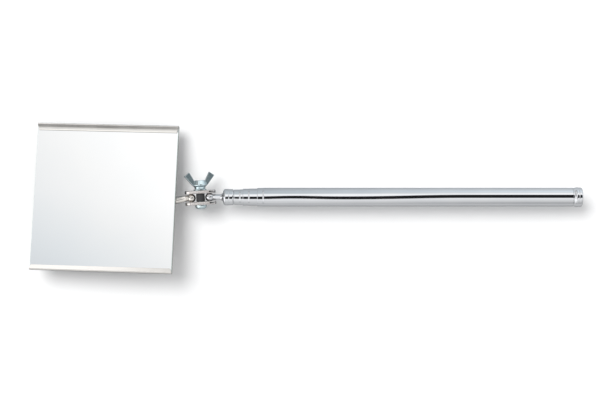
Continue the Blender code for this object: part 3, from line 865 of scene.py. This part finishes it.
def make_frame():
    back = BACK_OF_FRAME + SHEET / 2
    side = HEAD_HEIGHT / 2 - SHEET / 2
    top = -SHEET / 2 - 0.5
    profile = [Vector((0, back))]
    profile += arc((side - 0.8, back + 0.8), 0.8, -90, 0, 10)
    profile += arc((side - 0.5, top), 0.5, 0, 90 + LIP_SLOPE, 14)
    slope = math.radians(LIP_SLOPE)
    last = profile[-1]
    profile.append(last - LIP_LENGTH * Vector((math.cos(slope), math.sin(slope))))
    ends = (-HEAD_WIDTH / 2, HEAD_WIDTH / 2)
    mesh = boolean(folded_sheet("sheet_frame", profile, ends, SHEET, HEM_LENGTH), rivet_holes())
    mesh = boolean(mesh, lip_mitres())
    obj = piece("sheet_frame", mesh, "head", "mirror_frame", smooth_angle=30)
    wear(obj, "frame_stainless", LOOKS["steel"])


def make_bracket():
    """The stamped saddle over the stem, its flange corners rounded."""
    flange = BACK_OF_FRAME - GAP - BRACKET_SHEET / 2
    hump = STEM_RADIUS + GAP + BRACKET_SHEET / 2
    profile = arc((0, STEM_LINE), hump, -90, 0, 20)
    profile += arc((hump + 0.55, flange - 0.55), 0.55, 180, 90, 8)
    profile.append(Vector((BRACKET_HALF_WIDTH, flange)))
    mesh = folded_sheet("saddle", profile, BRACKET_ENDS, BRACKET_SHEET)
    low, high = BRACKET_ENDS
    inset = 0.02
    blank = [
        (low - inset, -BRACKET_HALF_WIDTH - inset, 4.0),
        (high + inset, -BRACKET_HALF_WIDTH - inset, 4.0),
        (high + inset, BRACKET_HALF_WIDTH + inset, 4.0),
        (low - inset, BRACKET_HALF_WIDTH + inset, 4.0),
    ]
    mesh = boolean(mesh, prism("blank", rounded(blank, True), -14, 0, HEAD), "INTERSECT")
    mesh = boolean(mesh, rivet_holes())
    obj = piece("saddle_bracket", mesh, "head", "head_bracket", smooth_angle=30)
    wear(obj, "bracket_steel", LOOKS["steel"])


def make_rivets():
    inside = BACK_OF_FRAME + SHEET + 0.05
    outside = BACK_OF_FRAME - GAP - BRACKET_SHEET - GAP
    corners = [
        (0, inside + 0.22, 0),
        (1.9, inside + 0.22, 0.1),
        (1.9, inside, 0.05),
        (1.2, inside, 0.05),
        (1.2, outside, 0.05),
        (2.2, outside, 0.1),
        (2.15, outside - 0.45, 0.3),
        (1.4, outside - 0.95, 0.6),
        (0, outside - 1.0, 0),
    ]
    for i, (x, y) in enumerate(RIVETS):
        place = HEAD @ Matrix.Translation((x * MM, y * MM, 0))
        name = f"rivet_{i + 1}"
        mesh = lathe(name, corners, place, 48)
        wear(piece(name, mesh, "head", f"bracket_rivet_{i + 1}"), "rivet_steel", LOOKS["rivet"])


def make_mirror():
    """The glass with ground edges: silvered face, satin edge, painted back."""
    x, y, thickness = (MIRROR_SIZE[0] / 2, MIRROR_SIZE[1] / 2, MIRROR_SIZE[2])
    corners = [(-x, -y, 0.6), (x, -y, 0.6), (x, y, 0.6), (-x, y, 0.6)]
    low = MIRROR_FRONT - thickness
    mesh = prism("mirror_glass", rounded(corners, True), low, MIRROR_FRONT, HEAD, 0.28, 2)
    obj = piece("mirror_glass", mesh, "head", "mirror_plate", smooth_angle=15)
    wear(obj, "mirror_glass", LOOKS["mirror"], LOOKS["glass_edge"], LOOKS["back_paint"])
    outward = HEAD_TURN @ Vector((0, 0, 1))
    for face in mesh.polygons:
        facing = face.normal.dot(outward)
        face.material_index = 0 if facing > 0.99 else 2 if facing < -0.99 else 1
    wear(frame["nodes"]["mirror_backing_sheet"], "backing_felt", LOOKS["foam"])


def make_stem():
    """The bent rod, tapering towards the ball it runs into."""
    line = HEAD_TURN.transposed() @ CLAMP_LINE
    straight_end = BALL_IN_HEAD - line * STEM_STRAIGHT
    reach = Vector((4.0, 0, 0))
    knots = [
        (Vector((STEM_START, 0, STEM_LINE)), reach, STEM_RADIUS),
        (Vector((STEM_BEND, 0, STEM_LINE)), reach, STEM_RADIUS),
        (straight_end, line * 2.0, STEM_TIP_RADIUS),
        (BALL_IN_HEAD - line * NECK_IN_BALL, line, STEM_TIP_RADIUS),
    ]
    curve = bpy.data.curves.new("stem", "CURVE")
    curve.dimensions = "3D"
    curve.bevel_depth = 1.0
    curve.bevel_resolution = 16
    curve.resolution_u = 16
    curve.use_fill_caps = True
    spline = curve.splines.new("BEZIER")
    spline.bezier_points.add(len(knots) - 1)
    for point, (place, handle, radius) in zip(spline.bezier_points, knots):
        point.co = place
        point.handle_left = place - handle
        point.handle_right = place + handle
        point.radius = radius
    holder = bpy.data.objects.new("stem_curve", curve)
    bpy.context.scene.collection.objects.link(holder)
    graph = bpy.context.evaluated_depsgraph_get()
    raw = bpy.data.meshes.new_from_object(holder.evaluated_get(graph))
    bpy.data.objects.remove(holder)
    bm = bmesh.new()
    bm.from_mesh(raw)
    bmesh.ops.remove_doubles(bm, verts=bm.verts, dist=0.01)
    mesh = to_mesh(bm, "stem", HEAD)
    wear(piece("stem", mesh, "head", "ball_stem", smooth_angle=50), "stem_nickel", LOOKS["nickel_stem"])


# ---------------------------------------------------------------- studio

# What the studio shows the rod near its ball, the clamp, the head, faces turned far to -X, and the
# rod near its butt: degrees about X, and brightness.
LEFT_BANDS = (
    (-180, 0.5),
    (-100, 0.64),
    (-88, 0.74),
    (-70, 0.9),
    (-56, 0.95),
    (-42, 1.12),
    (-28, 1.15),
    (8, 1.38),
    (34, 1.38),
    (46, tuple(0.78 * c for c in SKY_TINT)),
    (88, tuple(0.74 * c for c in SKY_TINT)),
    (104, 0.62),
    (126, 0.46),
    (180, 0.4),
)
CLAMP_BANDS = (
    (-180, 0.4),
    (-100, 0.32),
    (-86, 0.34),
    (-68, 0.6),
    (-50, 0.95),
    (-30, 1.28),
    (4, 1.3),
    (24, 1.08),
    (42, 0.7),
    (60, 0.4),
    (100, 0.34),
    (180, 0.4),
)
HEAD_BANDS = (
    (-180, 0.5),
    (-92, 0.6),
    (-60, 0.9),
    (-40, 1.2),
    (-30, 1.2),
    (-24, 0.33),
    (2, 0.33),
    (9, 1.0),
    (28, 1.35),
    (62, 1.4),
    (76, 0.8),
    (100, 0.6),
    (180, 0.5),
)
FAR_BANDS = ((-180, 0.6), (-100, 0.8), (-80, 1.6), (0, 1.7), (12, 0.5), (80, 0.4), (180, 0.4))
RIGHT_BANDS = (
    (-180, 0.5),
    (-95, 0.56),
    (-72, 0.59),
    (-60, 0.8),
    (-46, 0.9),
    (-30, 1.06),
    (10, 1.42),
    (42, 1.4),
    (54, 1.12),
    (66, tuple(1.07 * c for c in SKY_TINT)),
    (92, tuple(1.05 * c for c in SKY_TINT)),
    (104, 1.0),
    (180, 0.6),
)


def smooth_step(tree, value, low, high, to_low=0.0, to_high=1.0):
    """A value between two ends, eased into a range."""
    inputs = {"Value": value, "From Min": low, "From Max": high, "To Min": to_low, "To Max": to_high}
    return add_node(tree, "MapRange", inputs, interpolation_type="SMOOTHSTEP").outputs["Result"]


def sky_bands(tree, degrees, bands):
    """A ramp over the angle about the X axis, from -180 to 180 degrees."""
    share = math_node(tree, "MULTIPLY_ADD", degrees, 1 / 360, 0.5)
    return ramp_node(tree, share, [(angle / 360 + 0.5, colour) for angle, colour in bands])


def glass_field(tree, x, y):
    """The pale field in the mirror glass: brighter towards +X and +Y, cooler where it is dim."""
    beside = math_node(tree, "SUBTRACT", x, FIELD_AT[0])
    field = math_node(tree, "MULTIPLY_ADD", beside, FIELD_SLOPE_X, FIELD_BASE)
    above = math_node(tree, "SUBTRACT", y, FIELD_AT[1])
    rises = [math_node(tree, "MULTIPLY", above, slope) for slope in FIELD_SLOPES_Y]
    field = math_node(tree, "ADD", field, math_node(tree, "MINIMUM", *rises))
    field = math_node(tree, "MAXIMUM", field, FIELD_RANGE[0])
    field = math_node(tree, "MINIMUM", field, FIELD_RANGE[1])
    pale = add_node(tree, "CombineColor", {0: field, 1: field, 2: field}).outputs[0]
    dim = smooth_step(tree, field, 0.75, 1.0, 1.0, 0.0)
    cool = mix_colour(tree, dim, (1, 1, 1), (0.955, 1, 1.035))
    return mix_colour(tree, 1.0, pale, cool, "MULTIPLY")


def dark_gap(tree, x, angle):
    """1 inside the dark gap overhead and 0 outside it. It wavers a little above the rod's front."""
    off_middle = math_node(tree, "ABSOLUTE", math_node(tree, "ADD", x, 0.003))
    waver = smooth_step(tree, off_middle, 0.0, 0.026, GAP_WAVER, 0.0)
    drift = smooth_step(tree, x, 0.03, 0.095, *GAP_CENTRES)
    centre = math_node(tree, "ADD", waver, drift)
    half = smooth_step(tree, x, -0.05, 0.08, *GAP_HALF_WIDTHS)
    off_centre = math_node(tree, "ABSOLUTE", math_node(tree, "SUBTRACT", angle, centre))
    past_edge = math_node(tree, "SUBTRACT", off_centre, half)
    inside = smooth_step(tree, past_edge, -GAP_BLUR, GAP_BLUR, 1.0, 0.0)
    reach = smooth_step(tree, x, GAP_END - GAP_END_BLUR, GAP_END + GAP_END_BLUR)
    return math_node(tree, "MULTIPLY", inside, reach)


def studio_bands(tree):
    """What the metal mirrors in each direction.

    Bands are told by the angle about the X axis, in degrees from straight up towards +Y. One
    dark gap overhead runs along X, and the far ends of the studio are bright.
    """
    direction = add_node(tree, "TexCoord").outputs["Generated"]
    x, y, z = add_node(tree, "SeparateXYZ", {0: direction}).outputs
    angle = math_node(tree, "DEGREES", math_node(tree, "ARCTAN2", y, z))
    left = sky_bands(tree, angle, LEFT_BANDS)
    right = sky_bands(tree, angle, RIGHT_BANDS)
    bands = mix_colour(tree, smooth_step(tree, x, -0.04, 0.15), left, right)
    past_gap = smooth_step(tree, x, GAP_END, GAP_END - 0.012)
    bands = mix_colour(tree, past_gap, bands, sky_bands(tree, angle, CLAMP_BANDS))
    beside = smooth_step(tree, x, -0.195, -0.215)
    bands = mix_colour(tree, beside, bands, sky_bands(tree, angle, HEAD_BANDS))
    off_mirror = math_node(tree, "ABSOLUTE", math_node(tree, "SUBTRACT", angle, FIELD_ANGLE))
    near_mirror = smooth_step(tree, off_mirror, 3.5, 7.0, 1.0, 0.0)
    on_mirror = math_node(tree, "MULTIPLY", beside, near_mirror)
    bands = mix_colour(tree, on_mirror, bands, glass_field(tree, x, y))
    far = smooth_step(tree, x, -0.34, -0.44)
    bands = mix_colour(tree, far, bands, sky_bands(tree, angle, FAR_BANDS))
    towards_end = smooth_step(tree, x, 0.35, 0.6)
    depths = mix_colour(tree, towards_end, (0.02, 0.02, 0.022), (0.2, 0.22, 0.23))
    return mix_colour(tree, dark_gap(tree, x, angle), bands, depths)


def banded_world():
    """A soft studio for the metal to mirror, and a plain soft sky that lights everything else."""
    world = bpy.data.worlds.new("studio")
    bpy.context.scene.world = world
    world.use_nodes = True
    tree = world.node_tree
    tree.nodes.clear()
    mirrored = add_node(tree, "Background", {"Color": studio_bands(tree)}).outputs[0]
    sky = {"Color": (0.985, 0.99, 1.0, 1.0), "Strength": AMBIENT}
    ambient = add_node(tree, "Background", sky).outputs[0]
    seen = add_node(tree, "Background", {"Color": (1.0, 1.0, 1.0, 1.0)}).outputs[0]
    path = add_node(tree, "LightPath").outputs
    lit = add_node(tree, "MixShader", {0: path["Is Glossy Ray"], 1: ambient, 2: mirrored}).outputs[0]
    whole = add_node(tree, "MixShader", {0: path["Is Camera Ray"], 1: lit, 2: seen}).outputs[0]
    output = add_node(tree, "OutputWorld")
    tree.links.new(whole, output.inputs["Surface"])


def key_light():
    """One wide soft key from the upper left, which the metal doesn't mirror."""
    light = bpy.data.lights.new("key", "SUN")
    light.energy = KEY_STRENGTH
    light.angle = KEY_ANGLE
    obj = bpy.data.objects.new("key", light)
    obj.rotation_mode = "QUATERNION"
    obj.rotation_quaternion = KEY_DIRECTION.to_track_quat("-Z", "Y")
    obj.visible_glossy = False
    bpy.context.scene.collection.objects.link(obj)


def floor_material():
    """Pale paper. Painted shade: the metal mirrors a greyer floor than the camera sees, darker behind the
    rod towards -X.
    """
    material, tree, shader = new_material("pale_floor")
    coordinates = add_node(tree, "TexCoord").outputs["Object"]
    x, y, _ = add_node(tree, "SeparateXYZ", {0: coordinates}).outputs
    grain = between(tree, noise(tree, coordinates, 3, 3), 0, 1)
    tone = mix_colour(tree, grain, (0.9, 0.9, 0.9), (0.91, 0.91, 0.91))
    # Painted shade, seen only in glossy rays: grey in front of the rod, and behind it darker towards -X
    # and lighter towards +X.
    painted_reflected_shade = mix_colour(tree, smooth_step(tree, x, -0.3, -0.05), (0.47, 0.5, 0.52), (0.65, 0.68, 0.7))
    painted_reflected_shade = mix_colour(tree, smooth_step(tree, y, -0.004, 0.006), (0.58, 0.58, 0.58), painted_reflected_shade)
    mirrored = add_node(tree, "LightPath").outputs["Is Glossy Ray"]
    tree.links.new(mix_colour(tree, mirrored, tone, painted_reflected_shade), shader.inputs["Base Color"])
    shader.inputs["Roughness"].default_value = 0.9
    shader.inputs["Specular IOR Level"].default_value = 0.0
    return material


def add_floor():
    """A wide pale floor that stays just under the head's lowest corner at every pose."""
    bm = bmesh.new()
    bmesh.ops.create_grid(bm, x_segments=8, y_segments=8, size=FLOOR_SIZE)
    mesh = bpy.data.meshes.new("floor")
    bm.to_mesh(mesh)
    bm.free()
    floor = bpy.data.objects.new("floor", mesh)
    bpy.context.scene.collection.objects.link(floor)
    mesh.materials.append(floor_material())
    rest_height = CAD_BOX[0].z - FLOOR_DROP
    floor.location.z = rest_height
    follow_lowest_corner(floor, rest_height)


def follow_lowest_corner(floor, rest_height):
    """Drives the floor's height: the lowest of the head's four back corners, or the rest height."""
    driver = floor.driver_add("location", 2).driver
    driver.type = "SCRIPTED"
    names = []
    for i, (side_x, side_y) in enumerate(((-1, -1), (-1, 1), (1, -1), (1, 1))):
        corner = Vector((side_x * HEAD_WIDTH / 2, side_y * HEAD_HEIGHT / 2, -HEAD_DEPTH - 1))
        marker = bpy.data.objects.new(f"corner_{i}", None)
        bpy.context.scene.collection.objects.link(marker)
        marker.parent = frame["bodies"]["head"]
        marker.location = HEAD @ (corner * MM)
        variable = driver.variables.new()
        variable.name = f"c{i}"
        variable.type = "TRANSFORMS"
        variable.targets[0].id = marker
        variable.targets[0].transform_type = "LOC_Z"
        variable.targets[0].transform_space = "WORLD_SPACE"
        names.append(variable.name)
    top = rest_height + CORNER_DROP
    driver.expression = f"min({', '.join(names)}, {top:.6f}) - {CORNER_DROP}"


def add_camera():
    """Looks straight down, as the mirror was seen, and pulls back as the rod is drawn out."""
    data = bpy.data.cameras.new("camera")
    data.lens = LENS
    data.sensor_width = SENSOR
    data.clip_start = 0.01
    data.clip_end = 50
    camera = bpy.data.objects.new("camera", data)
    camera.location = CAMERA_AT
    bpy.context.scene.collection.objects.link(camera)
    bpy.context.scene.camera = camera
    pull = camera.constraints.new("TRANSFORM")
    pull.target = frame["bodies"]["rod"]
    pull.map_from = "LOCATION"
    pull.map_to = "LOCATION"
    pull.use_motion_extrapolate = True
    pull.from_min_x = -1.0
    pull.from_max_x = 0.0
    pull.map_to_x_from = "X"
    pull.map_to_z_from = "X"
    pull.to_min_x = CAMERA_PULL[0]
    pull.to_max_x = 0.0
    pull.to_min_z = CAMERA_PULL[1]
    pull.to_max_z = 0.0
    pull.mix_mode = "ADD"


# ---------------------------------------------------------------- build

make_rod()
make_end_cap()
make_tip()
make_plates()
make_bolt()
make_washer_and_spacer()
make_wing_nut()
make_frame()
make_bracket()
make_rivets()
make_mirror()
make_stem()
banded_world()
key_light()
add_floor()
add_camera()

bpy.context.scene.view_settings.view_transform = "Standard"
bpy.context.view_layer.update()
